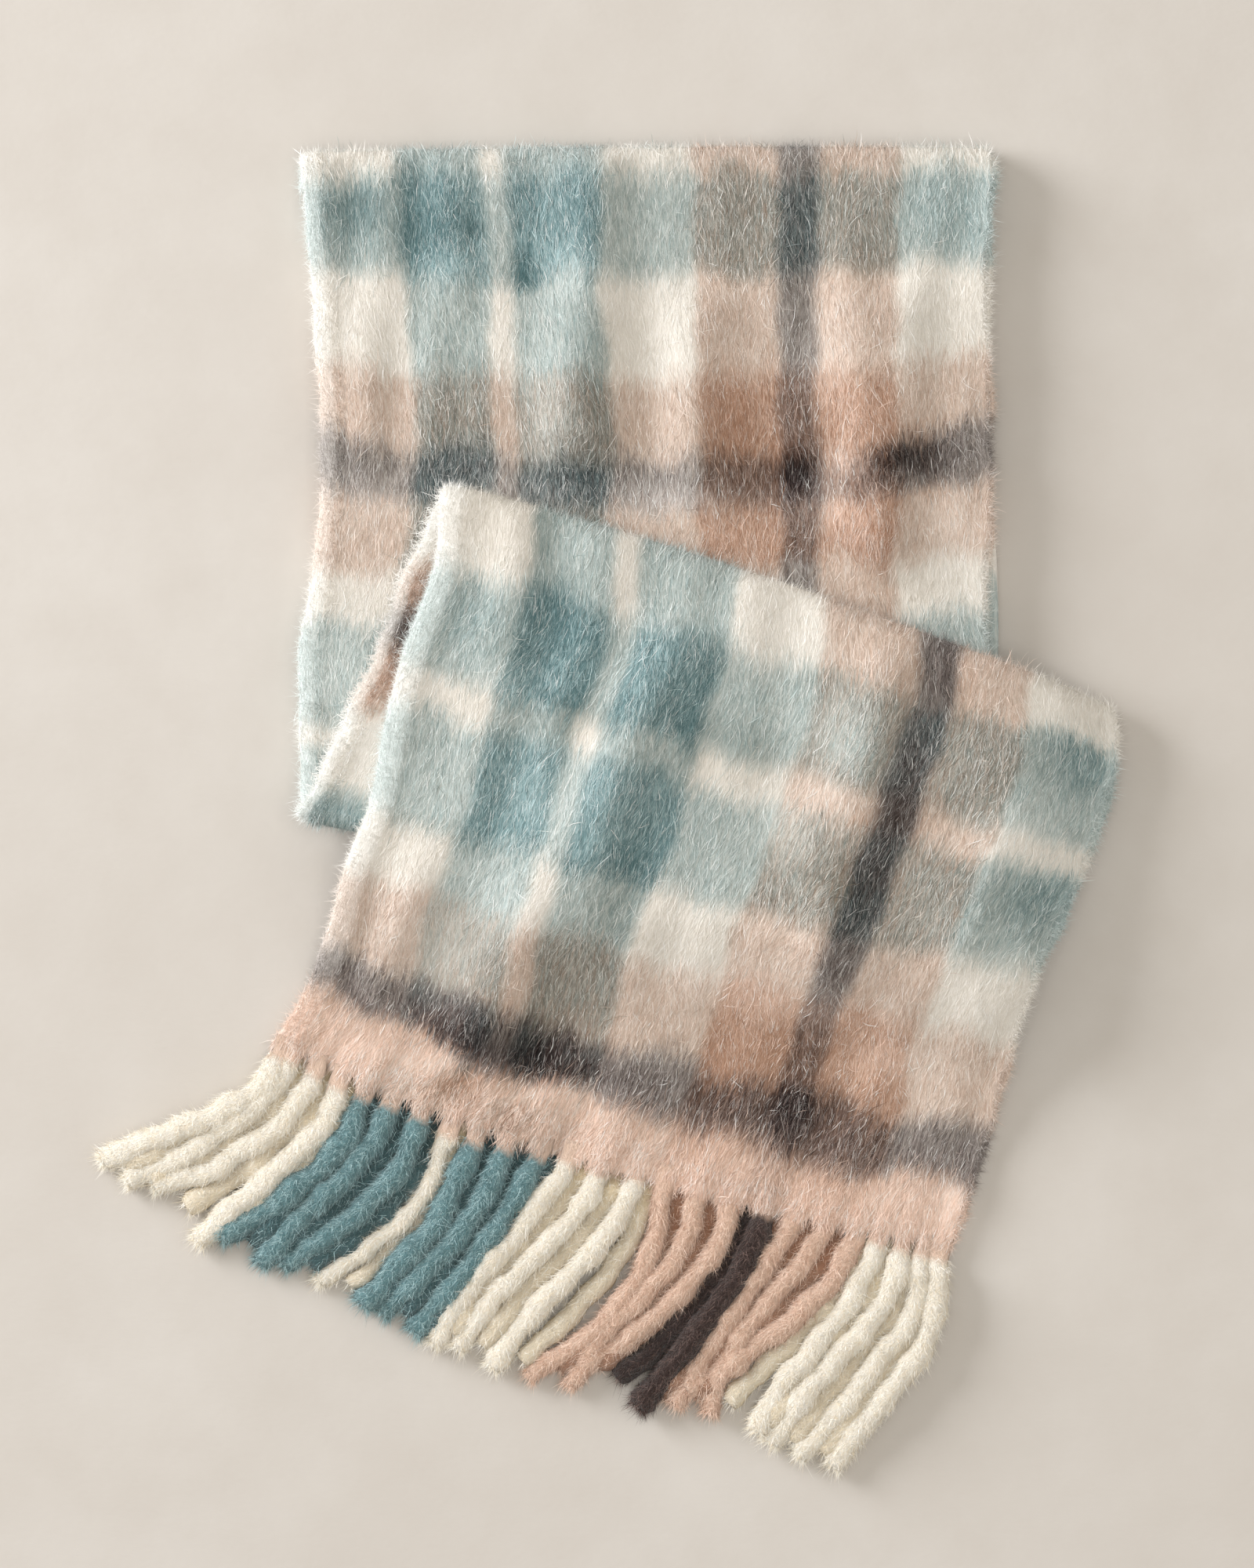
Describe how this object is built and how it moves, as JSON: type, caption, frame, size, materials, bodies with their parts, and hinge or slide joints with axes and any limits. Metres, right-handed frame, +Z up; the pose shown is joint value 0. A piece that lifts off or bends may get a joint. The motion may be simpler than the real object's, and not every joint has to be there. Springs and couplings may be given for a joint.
{
  "type": "blanket scarf",
  "caption": "Wide brushed-wool scarf doubled along its length and laid down in a loose Z, with long twisted fringe at the end that shows.",
  "frame": {"origin": "middle of the bounding box, at the surface that the scarf lies on", "axes": "+Z up, +Y from the fringe towards the top fold, +X along the folds towards the selvedges"},
  "size_m": [0.4466, 0.5842, 0.0358],
  "materials": {
    "plaid": "brushed wool with a long soft nap, blurred plaid",
    "cream": "soft twisted wool",
    "teal": "soft twisted wool",
    "peach": "soft twisted wool",
    "charcoal": "soft twisted wool"
  },
  "bodies": {
    "root": {"hidden_layers": "plaid", "back_stretch": "plaid", "middle_stretch": "plaid", "front_stretch": "plaid", "fringe_cream_left": "cream", "fringe_teal_left": "teal", "fringe_cream_single": "cream", "fringe_teal_right": "teal", "fringe_cream_middle": "cream", "fringe_peach_left": "peach", "fringe_charcoal": "charcoal", "fringe_peach_right": "peach", "fringe_cream_right": "cream"}
  },
  "joints": []
}
